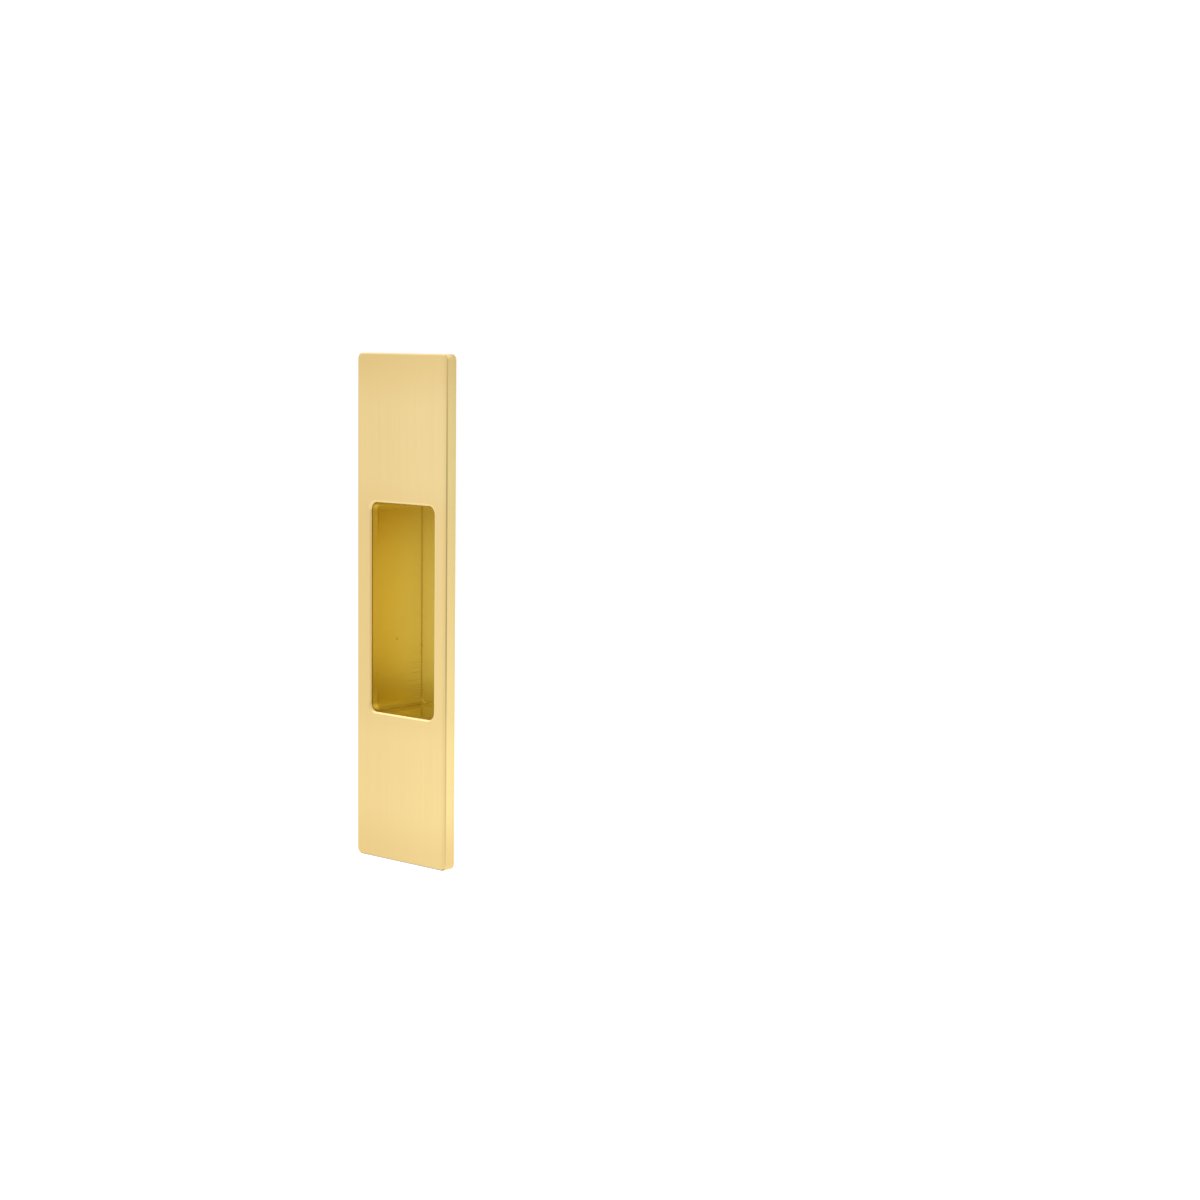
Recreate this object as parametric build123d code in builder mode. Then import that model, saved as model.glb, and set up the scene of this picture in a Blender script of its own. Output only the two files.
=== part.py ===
"""Flush finger pull, milled from solid brass bar: a face plate with a pocketed cup behind it.

Millimetres, +Z up along the plate, +X to the right across its face, and the face looks along -Y.
The origin is at the middle of the plate's back, in the plane that it seats on.
"""
import os

from build123d import *

# Face plate
plate_height = 100.0
plate_width = 25.0
plate_thickness = 2.4
plate_corner_radius = 1.2
front_edge_chamfer = 0.2

# Finger pocket, measured inside, with its depth taken from the plate's face
pocket_height = 41.3
pocket_width = 17.6
pocket_depth = 14.2
pocket_corner_radius = 1.5
pocket_rim_radius = 0.7

# Cup around the pocket, let into a mortise
cup_wall = 1.6
cup_floor = 1.6
cup_back_chamfer = 0.5

# Sizes that follow from the ones above
cup_height = pocket_height + 2 * cup_wall
cup_width = pocket_width + 2 * cup_wall
cup_corner_radius = pocket_corner_radius + cup_wall
cup_length = pocket_depth + cup_floor - plate_thickness

# The plate's back lies in the seat, and the seat's normal points out through the face
seat_plane = Plane.XZ
face_plane = seat_plane.offset(plate_thickness)

with BuildPart() as finger_pull:
    # Plate, standing proud of its seat by its thickness
    with BuildSketch(seat_plane):
        RectangleRounded(plate_width, plate_height, plate_corner_radius)
    extrude(amount=plate_thickness)

    # Cup, left standing when the bar is milled away around it, with its back edge broken
    with BuildSketch(seat_plane):
        RectangleRounded(cup_width, cup_height, cup_corner_radius)
    extrude(amount=-cup_length)
    cup_back = finger_pull.faces().sort_by(Axis.Y)[-1]
    chamfer(cup_back.edges(), length=cup_back_chamfer)

    # Pocket, milled from the face with a sharp corner all round its floor
    with BuildSketch(face_plane):
        RectangleRounded(pocket_width, pocket_height, pocket_corner_radius)
    extrude(amount=-pocket_depth, mode=Mode.SUBTRACT)

    # Arrises on the face: a fine chamfer round the plate and a softened rim that a finger can draw on
    face = finger_pull.faces().sort_by(Axis.Y)[0]
    outline_edges = face.outer_wire().edges()
    rim_edges = face.inner_wires()[0].edges()
    chamfer(outline_edges, length=front_edge_chamfer)
    fillet(rim_edges, radius=pocket_rim_radius)

os.makedirs("parts", exist_ok=True)
finger_pull.part.label = "finger_pull"
export_step(finger_pull.part, "parts/finger_pull.step")
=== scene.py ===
"""Flush finger pull in satin brass, seen from its right and a little above, let into a plain white board."""
import math

import bmesh
import bpy
from mathutils import Matrix, Vector


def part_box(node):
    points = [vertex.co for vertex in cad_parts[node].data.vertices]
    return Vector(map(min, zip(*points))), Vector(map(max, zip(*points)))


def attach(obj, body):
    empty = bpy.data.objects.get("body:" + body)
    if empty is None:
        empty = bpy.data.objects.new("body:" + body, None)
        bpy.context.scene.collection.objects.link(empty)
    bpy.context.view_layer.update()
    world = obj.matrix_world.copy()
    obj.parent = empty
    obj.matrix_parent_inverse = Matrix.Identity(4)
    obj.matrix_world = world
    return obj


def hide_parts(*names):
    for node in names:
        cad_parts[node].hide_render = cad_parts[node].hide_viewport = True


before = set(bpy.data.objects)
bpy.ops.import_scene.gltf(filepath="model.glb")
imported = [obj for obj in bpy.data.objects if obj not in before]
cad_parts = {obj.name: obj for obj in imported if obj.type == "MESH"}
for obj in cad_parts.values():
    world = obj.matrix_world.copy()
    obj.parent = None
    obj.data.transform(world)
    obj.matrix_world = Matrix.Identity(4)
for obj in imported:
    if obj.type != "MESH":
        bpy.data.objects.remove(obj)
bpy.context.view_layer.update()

# Body of the pull: one piece of solid brass, milled from bar and bonded into a mortise by its cup.
# The plate stands proud of its seat, with a fine chamfer round its face, and covers the mortise's edge.
# The pocket's rim is rounded for the finger, and its floor meets the walls in a sharp corner all round.
millimetre = 0.001
pull_low, pull_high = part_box("finger_pull")
plate_width = pull_high.x - pull_low.x
plate_height = pull_high.z - pull_low.z
plate_face = pull_low.y
plate_back = 0.0
cup_back = pull_high.y
plate_corner_radius = 1.2 * millimetre
front_edge_chamfer = 0.2 * millimetre
pocket_width = 17.6 * millimetre
pocket_height = 41.3 * millimetre
pocket_floor = plate_face + 14.2 * millimetre
pocket_corner_radius = 1.5 * millimetre
pocket_rim_radius = 0.7 * millimetre
cup_wall = 1.6 * millimetre
cup_back_chamfer = 0.5 * millimetre
corner_segments = 12
rim_segments = 8
face_finish, edge_finish, pocket_finish, back_finish = 0, 1, 2, 3
body_mesh = bmesh.new()


def rounded_outline(width, height, radius, depth):
    """Edges of an upright rectangle with round corners, standing at this depth from the seat."""
    upright = Matrix.Translation((0, depth, 0)) @ Matrix.Rotation(math.radians(90), 4, "X")
    shape = upright @ Matrix.Diagonal((width, height, 1, 1))
    corners = bmesh.ops.create_grid(body_mesh, x_segments=1, y_segments=1, size=0.5, matrix=shape)["verts"]
    rounding = bmesh.ops.bevel(
        body_mesh, geom=corners, offset=radius, affect="VERTICES",
        segments=corner_segments, profile=0.5, material=-1,
    )
    sheet = rounding["verts"][0].link_faces[0]
    outline = list(sheet.edges)
    bmesh.ops.delete(body_mesh, geom=[sheet], context="FACES_ONLY")
    return outline


def draw_wall(outline, distance, finish):
    """Walls drawn from an outline straight towards the back; gives the outline at their far end."""
    drawn = bmesh.ops.extrude_edge_only(body_mesh, edges=outline)["geom"]
    far_corners = [part for part in drawn if isinstance(part, bmesh.types.BMVert)]
    bmesh.ops.translate(body_mesh, verts=far_corners, vec=(0, distance, 0))
    for part in drawn:
        if isinstance(part, bmesh.types.BMFace):
            part.material_index = finish
    reached = set(far_corners)
    drawn_edges = (part for part in drawn if isinstance(part, bmesh.types.BMEdge))
    return [edge for edge in drawn_edges if reached.issuperset(edge.verts)]


def bridge_flat(outer, inner, finish):
    """Flat ring between two outlines in one plane."""
    for ring in bmesh.ops.bridge_loops(body_mesh, edges=outer + inner)["faces"]:
        ring.material_index = finish


def close_flat(outline, finish):
    """Flat end over an outline."""
    for end in bmesh.ops.edgeloop_fill(body_mesh, edges=outline)["faces"]:
        end.material_index = finish


def break_edges(edges, size, segments, finish):
    """Rounds edges, or chamfers them with one segment."""
    broken = bmesh.ops.bevel(
        body_mesh, geom=edges, offset=size, affect="EDGES",
        segments=segments, profile=0.5, material=-1,
    )
    for part in broken["faces"]:
        part.material_index = finish


def finished_object(name, mesh):
    """Object at the origin that holds a finished mesh."""
    data = bpy.data.meshes.new(name)
    mesh.to_mesh(data)
    mesh.free()
    made = bpy.data.objects.new(name, data)
    bpy.context.scene.collection.objects.link(made)
    return made


face_outline = rounded_outline(plate_width, plate_height, plate_corner_radius, plate_face)
rim = rounded_outline(pocket_width, pocket_height, pocket_corner_radius, plate_face)
cup_outline = rounded_outline(
    pocket_width + 2 * cup_wall, pocket_height + 2 * cup_wall, pocket_corner_radius + cup_wall, plate_back
)
bridge_flat(face_outline, rim, face_finish)
floor_outline = draw_wall(rim, pocket_floor - plate_face, pocket_finish)
close_flat(floor_outline, pocket_finish)
back_outline = draw_wall(face_outline, plate_back - plate_face, face_finish)
bridge_flat(back_outline, cup_outline, back_finish)
cup_end = draw_wall(cup_outline, cup_back - plate_back, back_finish)
close_flat(cup_end, back_finish)
break_edges(face_outline, front_edge_chamfer, 1, edge_finish)
break_edges(rim, pocket_rim_radius, rim_segments, face_finish)
break_edges(cup_end, cup_back_chamfer, 1, back_finish)
bmesh.ops.recalc_face_normals(body_mesh, faces=body_mesh.faces)
sharp_angle = math.radians(30)
for part in body_mesh.faces:
    part.smooth = True
for part in body_mesh.edges:
    part.smooth = part.calc_face_angle(math.pi) < sharp_angle

body = finished_object("pull_body", body_mesh)
flat_faces = body.modifiers.new("flat_faces", "WEIGHTED_NORMAL")
flat_faces.keep_sharp = True
flat_faces.weight = 100
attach(body, "root")
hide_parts("finger_pull")

# Finish of the face, the plate's sides and the rim: brass brushed lengthwise and lacquered to a satin gold.
# The brush leaves fine upright lines, and shade is painted darker to the left, by the pocket and to the
# ends.
# The sides are a shade paler, and shade is painted darker on the inner part of the rim.
lower_gold = (0.895, 0.681, 0.304)
lower_glint = (0.931, 0.713, 0.327)
upper_gold = (0.89, 0.68, 0.328)
upper_glint = (0.926, 0.712, 0.348)
side_gold = (0.88, 0.71, 0.315)
face_shade_gold = (0.81, 0.597, 0.252)
rim_shade_brown = (0.65, 0.48, 0.18)
brush_depth = 0.00003 * millimetre


def open_finish(piece, name):
    """New material, laid on the piece after those that it has; gives its node tree."""
    finish = bpy.data.materials.new(name)
    finish.use_nodes = True
    piece.data.materials.append(finish)
    return finish.node_tree


def lay_brass(tree, colour, roughness):
    """Metal of this colour and roughness, each a node's output."""
    shader = tree.nodes["Principled BSDF"]
    shader.inputs["Metallic"].default_value = 1.0
    tree.links.new(colour, shader.inputs["Base Color"])
    tree.links.new(roughness, shader.inputs["Roughness"])


def object_place(tree):
    """Places on the piece, in metres."""
    return tree.nodes.new("ShaderNodeTexCoord").outputs["Object"]


def axes_of(tree, place):
    """The three coordinates of a place, by name."""
    split = tree.nodes.new("ShaderNodeSeparateXYZ")
    tree.links.new(place, split.inputs["Vector"])
    return split.outputs


def grain(tree, place, cells_per_metre, detail):
    """Random grain from 0 to 1, with its own number of cells per metre along each axis."""
    spread = tree.nodes.new("ShaderNodeMapping")
    spread.inputs["Scale"].default_value = cells_per_metre
    tree.links.new(place, spread.inputs["Vector"])
    cells = tree.nodes.new("ShaderNodeTexNoise")
    cells.inputs["Scale"].default_value = 1.0
    cells.inputs["Detail"].default_value = detail
    tree.links.new(spread.outputs["Vector"], cells.inputs["Vector"])
    return cells.outputs["Fac"]


def graded(tree, value, start, end, at_start, at_end):
    """Level that changes smoothly while a value runs from its start to its end."""
    change = tree.nodes.new("ShaderNodeMapRange")
    change.interpolation_type = "SMOOTHSTEP"
    for name, number in (("From Min", start), ("From Max", end), ("To Min", at_start), ("To Max", at_end)):
        change.inputs[name].default_value = number
    tree.links.new(value, change.inputs["Value"])
    return change.outputs["Result"]


def reckon(tree, operation, first, second=0.0):
    """One step of arithmetic on two values, each a number or a node's output."""
    step = tree.nodes.new("ShaderNodeMath")
    step.operation = operation
    for socket, value in zip(step.inputs, (first, second)):
        if isinstance(value, bpy.types.NodeSocket):
            tree.links.new(value, socket)
        else:
            socket.default_value = value
    return step.outputs["Value"]


def blend(tree, factor, first, second):
    """Colour between two others, each a colour or a node's output."""
    mix = tree.nodes.new("ShaderNodeMix")
    mix.data_type = "RGBA"
    tree.links.new(factor, mix.inputs["Factor"])
    first_colour, second_colour, blended_colour = mix.inputs[6], mix.inputs[7], mix.outputs[2]
    for socket, colour in ((first_colour, first), (second_colour, second)):
        if isinstance(colour, bpy.types.NodeSocket):
            tree.links.new(colour, socket)
        else:
            socket.default_value = (*colour, 1.0)
    return blended_colour


def raise_surface(tree, height, depth):
    """Fine relief of so many metres, laid on the shader's normal."""
    relief = tree.nodes.new("ShaderNodeBump")
    relief.inputs["Distance"].default_value = depth
    tree.links.new(height, relief.inputs["Height"])
    tree.links.new(relief.outputs["Normal"], tree.nodes["Principled BSDF"].inputs["Normal"])


face_tree = open_finish(body, "brushed_face_brass")
face_place = object_place(face_tree)
face_axes = axes_of(face_tree, face_place)
brush_lines = grain(face_tree, face_place, (5000, 5000, 40), 3)
brush_bands = grain(face_tree, face_place, (420, 420, 9), 2)
line_tone = reckon(face_tree, "MULTIPLY", brush_lines, 0.7)
band_tone = reckon(face_tree, "MULTIPLY", brush_bands, 0.3)
brush_tone = graded(face_tree, reckon(face_tree, "ADD", line_tone, band_tone), 0.3, 0.7, 0, 1)
lower_colour = blend(face_tree, brush_tone, lower_gold, lower_glint)
upper_colour = blend(face_tree, brush_tone, upper_gold, upper_glint)
upward = graded(face_tree, face_axes["Z"], -10 * millimetre, 30 * millimetre, 0, 1)
lacquer_colour = blend(face_tree, upward, lower_colour, upper_colour)
from_centre_line = reckon(face_tree, "ABSOLUTE", face_axes["X"])
right_edge = plate_width / 2 - front_edge_chamfer
on_side = graded(face_tree, from_centre_line, right_edge, plate_width / 2, 0, 1)
sided_colour = blend(face_tree, on_side, lacquer_colour, side_gold)
# Painted shade: the face is darkened to the left, by the pocket, towards the ends, along both edges and at
# the side's foot.
to_left = graded(face_tree, face_axes["X"], -plate_width / 2, plate_width / 2, 0.4, 0)
from_level = reckon(face_tree, "ABSOLUTE", face_axes["Z"])
to_end = graded(face_tree, from_level, 0.38 * plate_height, 0.5 * plate_height, 0, 0.65)
by_pocket = graded(face_tree, from_level, 0.45 * pocket_height, 0.65 * pocket_height, 0.35, 0)
to_right = graded(face_tree, face_axes["X"], right_edge - 1.3 * millimetre, right_edge, 0, 0.6)
off_side = reckon(face_tree, "SUBTRACT", 1.0, on_side)
face_painted_shade = reckon(face_tree, "MULTIPLY", to_right, off_side)
left_edge = graded(face_tree, face_axes["X"], -right_edge, 0.3 * millimetre - right_edge, 0.8, 0)
to_foot = graded(face_tree, face_axes["Z"], -0.48 * plate_height, -0.36 * plate_height, 0.5, 0)
side_foot = reckon(face_tree, "MULTIPLY", to_foot, on_side)
for share in (to_left, to_end, by_pocket, left_edge, side_foot):
    face_painted_shade = reckon(face_tree, "ADD", face_painted_shade, share)
face_shaded_colour = blend(face_tree, face_painted_shade, sided_colour, face_shade_gold)
from_face = reckon(face_tree, "SUBTRACT", face_axes["Y"], plate_face)
# Painted shade: the inner half of the rim's rounding is darkened all round, leaving out the plate's sides
# and ends.
rim_inside = graded(face_tree, from_face, 0.5 * pocket_rim_radius, 0.8 * pocket_rim_radius, 0, 1)
rim_top = pocket_height / 2 + pocket_rim_radius
off_end = graded(face_tree, from_level, rim_top, rim_top + 1 * millimetre, 1, 0)
rim_painted_shade = reckon(face_tree, "MULTIPLY", reckon(face_tree, "MULTIPLY", rim_inside, off_end), off_side)
face_colour = blend(face_tree, rim_painted_shade, face_shaded_colour, rim_shade_brown)
lay_brass(face_tree, face_colour, graded(face_tree, brush_lines, 0.3, 0.7, 0.276, 0.29))
raise_surface(face_tree, brush_lines, brush_depth)

# Finish of the chamfer round the face: cut after brushing, so it is duller than the face, and painted darker
# as shade.
# The painted shade fades lighter towards both ends, and a painted shadow lies darkest along the foot.
edge_light_gold = (0.88, 0.67, 0.3)
edge_shade_brown = (0.56, 0.425, 0.185)
foot_shadow_brown = (0.33, 0.26, 0.11)
rub_depth = 0.0005 * millimetre
edge_tree = open_finish(body, "cut_edge_brass")
edge_place = object_place(edge_tree)
edge_axes = axes_of(edge_tree, edge_place)
# Painted shade on the chamfer, fading lighter towards both ends; a painted shadow lies along the foot.
shade_above_foot = graded(edge_tree, edge_axes["Z"], -30 * millimetre, -4 * millimetre, 0.15, 1)
shade_below_head = graded(edge_tree, edge_axes["Z"], 20 * millimetre, 50 * millimetre, 1, 0.45)
edge_shade_share = reckon(edge_tree, "MULTIPLY", shade_above_foot, shade_below_head)
rubs = grain(edge_tree, edge_place, (300, 300, 300), 2)
edge_shade_and_tone = reckon(edge_tree, "MULTIPLY", edge_shade_share, graded(edge_tree, rubs, 0.3, 0.7, 0.9, 1.0))
edge_shaded_colour = blend(edge_tree, edge_shade_and_tone, edge_light_gold, edge_shade_brown)
foot_edge = front_edge_chamfer - plate_height / 2
on_foot_edge = graded(edge_tree, edge_axes["Z"], foot_edge, foot_edge + 0.5 * millimetre, 1, 0)
edge_colour = blend(edge_tree, on_foot_edge, edge_shaded_colour, foot_shadow_brown)
lay_brass(edge_tree, edge_colour, graded(edge_tree, rubs, 0.3, 0.7, 0.29, 0.34))
raise_surface(edge_tree, rubs, rub_depth)

# Finish of the pocket: bare milled brass, as the end mill cut it, with shade painted towards its ends,
# corners and floor.
# The cutter has left coarse lines low down by the floor, and shade is painted where the floor meets the
# sides.
# The left wall has two small nicks, and by the rim at each end it is painted brighter as a glint, edged by a
# painted shade line.
cut_brass = (0.91, 0.772, 0.314)
hazed_brass = (0.9, 0.76, 0.306)
floorward_shade_brass = (0.88, 0.69, 0.24)
lower_end_shade_brass = (0.78, 0.645, 0.185)
upper_end_shade_brass = (0.8, 0.64, 0.205)
glint_brass = (0.93, 0.82, 0.36)
corner_shade_brown = (0.53, 0.385, 0.062)
end_sheen_brass = (0.98, 0.88, 0.31)
end_wall_brown = (0.5, 0.4, 0.11)
mark_and_shade_brown = (0.6, 0.46, 0.13)
cutter_pitch = 0.52 * millimetre
marks_depth = 0.003 * millimetre
pocket_tree = open_finish(body, "milled_pocket_brass")
pocket_place = object_place(pocket_tree)
pocket_axes = axes_of(pocket_tree, pocket_place)
from_middle = reckon(pocket_tree, "ABSOLUTE", pocket_axes["Z"])
from_centre = reckon(pocket_tree, "ABSOLUTE", pocket_axes["X"])
to_floor = reckon(pocket_tree, "SUBTRACT", pocket_floor, pocket_axes["Y"])
to_ends = reckon(pocket_tree, "SUBTRACT", pocket_height / 2, from_middle)
to_sides = reckon(pocket_tree, "SUBTRACT", pocket_width / 2, from_centre)

cutter_haze = grain(pocket_tree, pocket_place, (500, 60, 3000), 2)
haze_colour = blend(pocket_tree, cutter_haze, cut_brass, hazed_brass)
# Painted shade: the pocket darkens towards both ends, least a little below its middle; the floor takes less
# of it at the lower end.
least_shade_level = -1.5 * millimetre
off_least_shade = reckon(pocket_tree, "ABSOLUTE", reckon(pocket_tree, "SUBTRACT", pocket_axes["Z"], least_shade_level))
end_share = reckon(pocket_tree, "DIVIDE", off_least_shade, 0.47 * pocket_height)
end_shade_tone = reckon(pocket_tree, "MINIMUM", reckon(pocket_tree, "POWER", end_share, 2.5), 1.0)
off_floor = graded(pocket_tree, to_floor, 0.02 * millimetre, 0.15 * millimetre, 0, 1)
floor_end_shade_level = graded(pocket_tree, pocket_axes["Z"], -5 * millimetre, 5 * millimetre, 0.55, 0.95)
end_shade_share = reckon(pocket_tree, "MULTIPLY", end_shade_tone, reckon(pocket_tree, "MAXIMUM", off_floor, floor_end_shade_level))
# Painted shade: the walls are darker and deeper in tone towards the floor.
floorwards = graded(pocket_tree, to_floor, 0, 4 * millimetre, 0.5, 0)
floorward_shade_tone = reckon(pocket_tree, "MULTIPLY", off_floor, floorwards)
floorward_shaded_colour = blend(pocket_tree, floorward_shade_tone, haze_colour, floorward_shade_brass)
upper = graded(pocket_tree, pocket_axes["Z"], -5 * millimetre, 5 * millimetre, 0, 1)
end_shade_colour = blend(pocket_tree, upper, lower_end_shade_brass, upper_end_shade_brass)
end_shaded_colour = blend(pocket_tree, end_shade_share, floorward_shaded_colour, end_shade_colour)

# Painted glint: the left wall is lightened by the rim near each end, with a painted shade line along the
# glint's inner edge.
glint_reach = 1.3 * millimetre
from_rim = reckon(pocket_tree, "SUBTRACT", pocket_axes["Y"], plate_face + pocket_rim_radius)
within_reach = graded(pocket_tree, from_rim, glint_reach - 0.2 * millimetre, glint_reach, 1, 0)
from_top = reckon(pocket_tree, "SUBTRACT", pocket_height / 2, pocket_axes["Z"])
from_foot = reckon(pocket_tree, "ADD", pocket_height / 2, pocket_axes["Z"])
at_top = graded(pocket_tree, from_top, 2 * millimetre, 9 * millimetre, 1, 0)
at_foot = graded(pocket_tree, from_foot, 2 * millimetre, 5 * millimetre, 1, 0)
on_left = graded(pocket_tree, pocket_axes["X"], -pocket_width / 2, 0, 1, 0)
glint_share = reckon(pocket_tree, "MULTIPLY", on_left, reckon(pocket_tree, "MAXIMUM", at_top, at_foot))
painted_glint = reckon(pocket_tree, "MULTIPLY", within_reach, glint_share)
glinted_colour = blend(pocket_tree, painted_glint, end_shaded_colour, glint_brass)
past_glint = reckon(pocket_tree, "SUBTRACT", from_rim, 1.15 * glint_reach)
from_glint_end = reckon(pocket_tree, "ABSOLUTE", past_glint)
glint_edge_step = graded(pocket_tree, from_glint_end, 0.05 * millimetre, 0.25 * millimetre, 0.5, 0)
glint_edge_shade = reckon(pocket_tree, "MULTIPLY", glint_edge_step, glint_share)

# Painted shade in the pocket's corners, weaker where the glint is painted.
into_corner = graded(pocket_tree, to_ends, 0.6 * pocket_corner_radius, 1.05 * pocket_corner_radius, 1, 0)
by_side = graded(pocket_tree, to_sides, 0.35 * pocket_corner_radius, 0.9 * pocket_corner_radius, 1, 0)
off_glint = graded(pocket_tree, painted_glint, 0, 1, 1, 0.45)
corner_shade_share = into_corner
for share in (by_side, off_floor, off_glint):
    corner_shade_share = reckon(pocket_tree, "MULTIPLY", corner_shade_share, share)
corner_shaded_colour = blend(pocket_tree, corner_shade_share, glinted_colour, corner_shade_brown)
# Painted reflection: the end walls are lightened beside the left corners and along the floor's edge.
sheen_place = 1.6 * pocket_corner_radius
past_corner = reckon(pocket_tree, "ABSOLUTE", reckon(pocket_tree, "SUBTRACT", to_sides, sheen_place))
by_corner = graded(pocket_tree, past_corner, 0.5 * pocket_corner_radius, 1.1 * pocket_corner_radius, 1, 0)
left_half = graded(pocket_tree, pocket_axes["X"], -2 * millimetre, 2 * millimetre, 1, 0)
by_left_corner = reckon(pocket_tree, "MULTIPLY", by_corner, left_half)
by_floor_edge = graded(pocket_tree, to_floor, 0.2 * millimetre, 1.0 * millimetre, 0.7, 0)
at_end = graded(pocket_tree, to_ends, 0.05 * millimetre, 0.3 * millimetre, 1, 0)
end_sheen_part = reckon(pocket_tree, "MAXIMUM", by_left_corner, by_floor_edge)
end_sheen = reckon(pocket_tree, "MULTIPLY", at_end, end_sheen_part)
end_sheened_colour = blend(pocket_tree, end_sheen, corner_shaded_colour, end_sheen_brass)
by_rim = graded(pocket_tree, from_rim, 0, 3 * millimetre, 0.75, 0)
to_right_end = graded(pocket_tree, pocket_axes["X"], -pocket_width / 4, pocket_width / 2, 0.1, 1)
end_shade = reckon(pocket_tree, "MULTIPLY", at_end, reckon(pocket_tree, "MAXIMUM", by_rim, to_right_end))
shaded_colour = blend(pocket_tree, end_shade, end_sheened_colour, end_wall_brown)


def level_lines(tree, place, pitch, unevenness):
    """Level lines at this pitch: 1 along each line and 0 halfway to the next."""
    lines = tree.nodes.new("ShaderNodeTexWave")
    lines.wave_type = "BANDS"
    lines.bands_direction = "Z"
    turn_at_unit_scale = 20
    lines.inputs["Scale"].default_value = math.tau / (turn_at_unit_scale * pitch)
    lines.inputs["Distortion"].default_value = unevenness
    tree.links.new(place, lines.inputs["Vector"])
    return lines.outputs["Fac"]


cutter_lines = level_lines(pocket_tree, pocket_place, cutter_pitch, 1.2)
line_cut = graded(pocket_tree, cutter_lines, 0.45, 0.9, 0, 1)
line_share = graded(pocket_tree, grain(pocket_tree, pocket_place, (90, 90, 1500), 1), 0.38, 0.62, 0.15, 1)
by_floor = graded(pocket_tree, to_floor, 1.0 * millimetre, 5.0 * millimetre, 1, 0)
low_down = graded(pocket_tree, pocket_axes["Z"], -15 * millimetre, -7 * millimetre, 1, 0.06)
line_depth = line_cut
for share in (line_share, by_floor, off_floor, low_down):
    line_depth = reckon(pocket_tree, "MULTIPLY", line_depth, share)


def nick(place, size):
    """Small dint about a point on the wall: 1 in its middle and 0 beyond its size."""
    reach = pocket_tree.nodes.new("ShaderNodeVectorMath")
    reach.operation = "DISTANCE"
    reach.inputs[1].default_value = place
    pocket_tree.links.new(pocket_place, reach.inputs[0])
    return graded(pocket_tree, reach.outputs["Value"], 0.3 * size, size, 1, 0)


left_wall = -pocket_width / 2
wall_nick = nick((left_wall, 4.9 * millimetre, -7.0 * millimetre), 0.38 * millimetre)
corner_nick = nick((left_wall, pocket_floor, -8.8 * millimetre), 0.5 * millimetre)
nicks = reckon(pocket_tree, "MAXIMUM", wall_nick, corner_nick)
# Painted shade line where the floor meets the side walls; the nicks and the cutter lines are real marks.
to_corner = reckon(pocket_tree, "ADD", to_floor, to_sides)
floor_corner_shade = graded(pocket_tree, to_corner, 0.1 * millimetre, 0.35 * millimetre, 0.6, 0)
marks_and_shade = floor_corner_shade
for mark, depth in ((nicks, 0.75), (line_depth, 0.6), (glint_edge_shade, 1.0)):
    marks_and_shade = reckon(pocket_tree, "MAXIMUM", marks_and_shade, reckon(pocket_tree, "MULTIPLY", mark, depth))
pocket_colour = blend(pocket_tree, marks_and_shade, shaded_colour, mark_and_shade_brown)
hazed_roughness = graded(pocket_tree, cutter_haze, 0.3, 0.7, 0.275, 0.295)
gloss = graded(pocket_tree, to_sides, 1.5 * pocket_corner_radius, 2.8 * pocket_corner_radius, 0.1, 0.65)
end_dullness = reckon(pocket_tree, "SUBTRACT", 1.0, reckon(pocket_tree, "MULTIPLY", at_end, gloss))
pocket_roughness = reckon(pocket_tree, "MULTIPLY", hazed_roughness, end_dullness)
lay_brass(pocket_tree, pocket_colour, pocket_roughness)
raise_surface(pocket_tree, reckon(pocket_tree, "SUBTRACT", 1.0, marks_and_shade), marks_depth)

# Finish of the back and of the cup: brass as the mill left it, in level passes, and rough for the adhesive.
# It is bare and a little tarnished, so it is duller and browner than the face.
milled_brass = (0.67, 0.51, 0.22)
milled_glint = (0.74, 0.57, 0.26)
tarnish_brown = (0.5, 0.35, 0.14)
pass_pitch = 0.55 * millimetre
pass_depth = 0.004 * millimetre
back_tree = open_finish(body, "milled_back_brass")
back_place = object_place(back_tree)
pass_lines = level_lines(back_tree, back_place, pass_pitch, 2.0)
back_haze = grain(back_tree, back_place, (400, 400, 2500), 3)
tarnish = grain(back_tree, back_place, (90, 90, 60), 3)
back_tone = reckon(back_tree, "MULTIPLY", back_haze, pass_lines)
milled_tone = graded(back_tree, back_tone, 0.05, 0.5, 0, 1)
milled_colour = blend(back_tree, milled_tone, milled_brass, milled_glint)
tarnish_share = graded(back_tree, tarnish, 0.4, 0.75, 0, 0.6)
back_colour = blend(back_tree, tarnish_share, milled_colour, tarnish_brown)
lay_brass(back_tree, back_colour, graded(back_tree, back_haze, 0.3, 0.7, 0.34, 0.46))
raise_surface(back_tree, pass_lines, pass_depth)

# White board that the pull sits on: a plain flat sheet, with an opening that the plate laps all round.
# Only its front shows, so that the pull's back can be seen and lit from behind.
board_reach = 0.8
plate_lap = 0.5 * millimetre
opening_half_width = plate_width / 2 - plate_lap
opening_half_height = plate_height / 2 - plate_lap
board_setback = 0.02 * millimetre
board_mesh = bmesh.new()
bmesh.ops.create_grid(board_mesh, x_segments=3, y_segments=3, size=1.5)
for corner in board_mesh.verts:
    half_width = opening_half_width if abs(corner.co.x) < 1 else board_reach
    half_height = opening_half_height if abs(corner.co.y) < 1 else board_reach
    board_x = math.copysign(half_width, corner.co.x)
    board_z = math.copysign(half_height, corner.co.y)
    corner.co = Vector((board_x, plate_back + board_setback, board_z))
opening = min(board_mesh.faces, key=lambda face: face.calc_center_median().length)
bmesh.ops.delete(board_mesh, geom=[opening], context="FACES_ONLY")
board = finished_object("backdrop_board", board_mesh)


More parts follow.
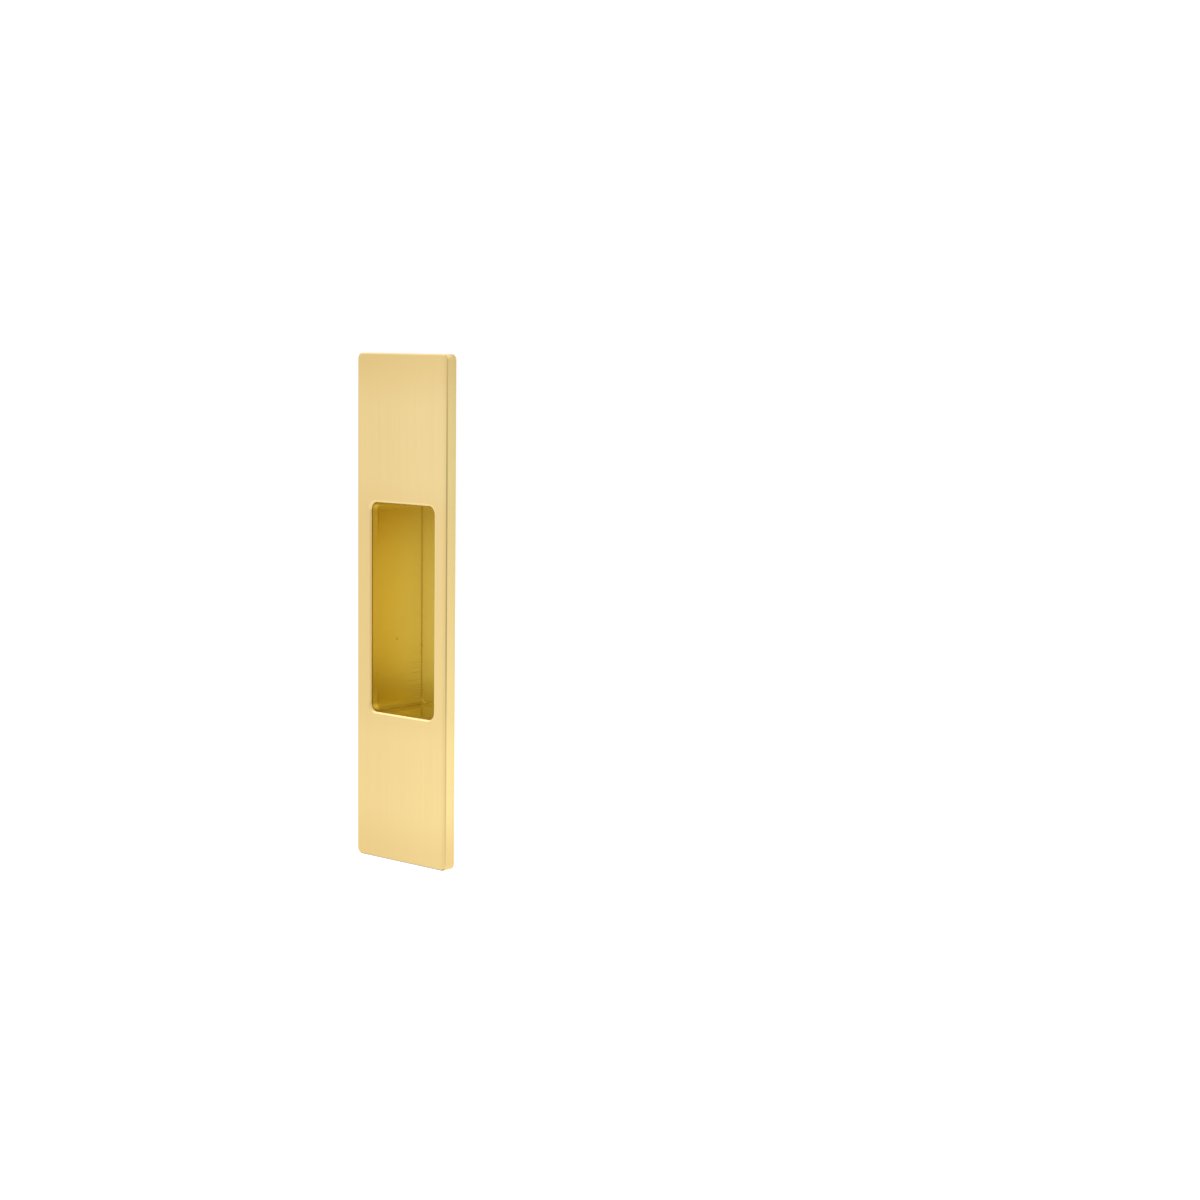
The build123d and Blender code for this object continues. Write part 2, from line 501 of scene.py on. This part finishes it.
def lay_white(tree):
    """Matt white paint; gives its shader's output."""
    shader = tree.nodes["Principled BSDF"]
    shader.inputs["Base Color"].default_value = (0.9, 0.9, 0.9, 1.0)
    shader.inputs["Roughness"].default_value = 0.9
    shader.inputs["Specular IOR Level"].default_value = 0.0
    return shader.outputs["BSDF"]


def mix_shaders(tree, factor, first, second):
    """Shader between two others, by a node's output."""
    mix = tree.nodes.new("ShaderNodeMixShader")
    tree.links.new(factor, mix.inputs["Fac"])
    tree.links.new(first, mix.inputs[1])
    tree.links.new(second, mix.inputs[2])
    return mix.outputs["Shader"]


board_tree = open_finish(board, "white_board")
board_white = lay_white(board_tree)
board_rays = board_tree.nodes.new("ShaderNodeLightPath")
seen_white = reckon(board_tree, "MULTIPLY", board_rays.outputs["Is Camera Ray"], 0.9)
mirrored_white = reckon(board_tree, "MULTIPLY", board_rays.outputs["Is Glossy Ray"], 0.75)
board_axes = axes_of(board_tree, object_place(board_tree))
board_glow = board_tree.nodes.new("ShaderNodeEmission")
# Painted light: in reflections the board glows brighter towards its foot and in a strip just above the
# pull's top.
foot_light = graded(board_tree, board_axes["Z"], -45 * millimetre, 50 * millimetre, 1.28, 0.87)
head_light = graded(board_tree, board_axes["Z"], pull_high.z, pull_high.z + 1.5 * millimetre, 0, 0.5)
board_light = reckon(board_tree, "ADD", foot_light, head_light)
plain_white = reckon(board_tree, "MULTIPLY", board_rays.outputs["Is Camera Ray"], 1.03)
glow_level = reckon(board_tree, "MAXIMUM", board_light, plain_white)
board_tree.links.new(glow_level, board_glow.inputs["Strength"])
glow_share = reckon(board_tree, "ADD", seen_white, mirrored_white)
board_front = mix_shaders(board_tree, glow_share, board_white, board_glow.outputs["Emission"])
board_clear = board_tree.nodes.new("ShaderNodeBsdfTransparent").outputs["BSDF"]
from_behind = board_tree.nodes.new("ShaderNodeNewGeometry").outputs["Backfacing"]
board_look = mix_shaders(board_tree, from_behind, board_front, board_clear)
board_tree.links.new(board_look, board_tree.nodes["Material Output"].inputs["Surface"])

# Floor: a plain pale sheet at the foot of the board, painted the same white.
# It lies well below the pull, and the pocket and the rim mirror it.
floor_level = -0.3
floor_mesh = bmesh.new()
bmesh.ops.create_grid(floor_mesh, x_segments=1, y_segments=1, size=board_reach)
floor_middle = plate_back + board_setback - board_reach
bmesh.ops.translate(floor_mesh, verts=floor_mesh.verts, vec=(0, floor_middle, floor_level))
floor = finished_object("pale_floor", floor_mesh)
floor_tree = open_finish(floor, "pale_floor")
floor_white = lay_white(floor_tree)
floor_rays = floor_tree.nodes.new("ShaderNodeLightPath")
floor_seen = reckon(
    floor_tree, "MAXIMUM", floor_rays.outputs["Is Camera Ray"], floor_rays.outputs["Is Glossy Ray"]
)
floor_glow = floor_tree.nodes.new("ShaderNodeEmission")
floor_glow.inputs["Strength"].default_value = 1.2
floor_share = reckon(floor_tree, "MULTIPLY", floor_seen, 0.7)
floor_look = mix_shaders(floor_tree, floor_share, floor_white, floor_glow.outputs["Emission"])
floor_tree.links.new(floor_look, floor_tree.nodes["Material Output"].inputs["Surface"])

# Surround: a white tent of soft light, with a brighter panel high on the left and a strip by the board.
# It is a little dimmer where the view is taken from.
tent = bpy.data.worlds.new("white_tent")
bpy.context.scene.world = tent
tent.use_nodes = True
tent_tree = tent.node_tree
tent_heading = tent_tree.nodes.new("ShaderNodeTexCoord").outputs["Generated"]
tent_axes = axes_of(tent_tree, tent_heading)
level = graded(tent_tree, tent_axes["Z"], -0.3, 0.05, 1.1, 0.91)
leftward = graded(tent_tree, tent_axes["X"], -0.6, -0.05, 1, 0)
high_panel = graded(tent_tree, tent_axes["Z"], 0.12, 0.4, 0, 0.7)
board_strip = graded(tent_tree, tent_axes["Y"], -0.5, -0.2, 0, 0.4)
left_light = reckon(tent_tree, "MULTIPLY", leftward, reckon(tent_tree, "MAXIMUM", high_panel, board_strip))
view_heading = Vector((0.7, -0.71, -0.03)).normalized()
viewpoint = tent_tree.nodes.new("ShaderNodeVectorMath")
viewpoint.operation = "DOT_PRODUCT"
viewpoint.inputs[1].default_value = view_heading
tent_tree.links.new(tent_heading, viewpoint.inputs[0])
view_shade = graded(
    tent_tree, viewpoint.outputs["Value"], math.cos(math.radians(24)), math.cos(math.radians(8)), 0, 0.25
)
lit = reckon(tent_tree, "SUBTRACT", reckon(tent_tree, "ADD", level, left_light), view_shade)
tent_rays = tent_tree.nodes.new("ShaderNodeLightPath")
strength = reckon(tent_tree, "MAXIMUM", lit, tent_rays.outputs["Is Camera Ray"])
tent_tree.links.new(strength, tent_tree.nodes["Background"].inputs["Strength"])
tent_tree.nodes["Background"].inputs["Color"].default_value = (1.0, 1.0, 1.0, 1.0)

# Camera: at the photograph's viewing angle, to the right of the face and a little above its middle.
# It is turned a little about its own line of sight, as the photograph is.
camera_place = Vector((0.33762, -0.32557, 0.05379))
camera_aim = Vector((0.02675, 0.02596, 0.00216))
camera_roll = math.radians(0.663)
camera_data = bpy.data.cameras.new("camera")
camera_data.lens = 72.0
camera_data.sensor_width = 36.0
camera_data.clip_start = 0.01
camera = bpy.data.objects.new("camera", camera_data)
bpy.context.scene.collection.objects.link(camera)
camera_turn = (camera_aim - camera_place).to_track_quat("-Z", "Y").to_matrix().to_4x4()
camera.matrix_world = Matrix.Translation(camera_place) @ camera_turn @ Matrix.Rotation(camera_roll, 4, "Z")
bpy.context.scene.camera = camera

bpy.context.scene.view_settings.view_transform = "Standard"
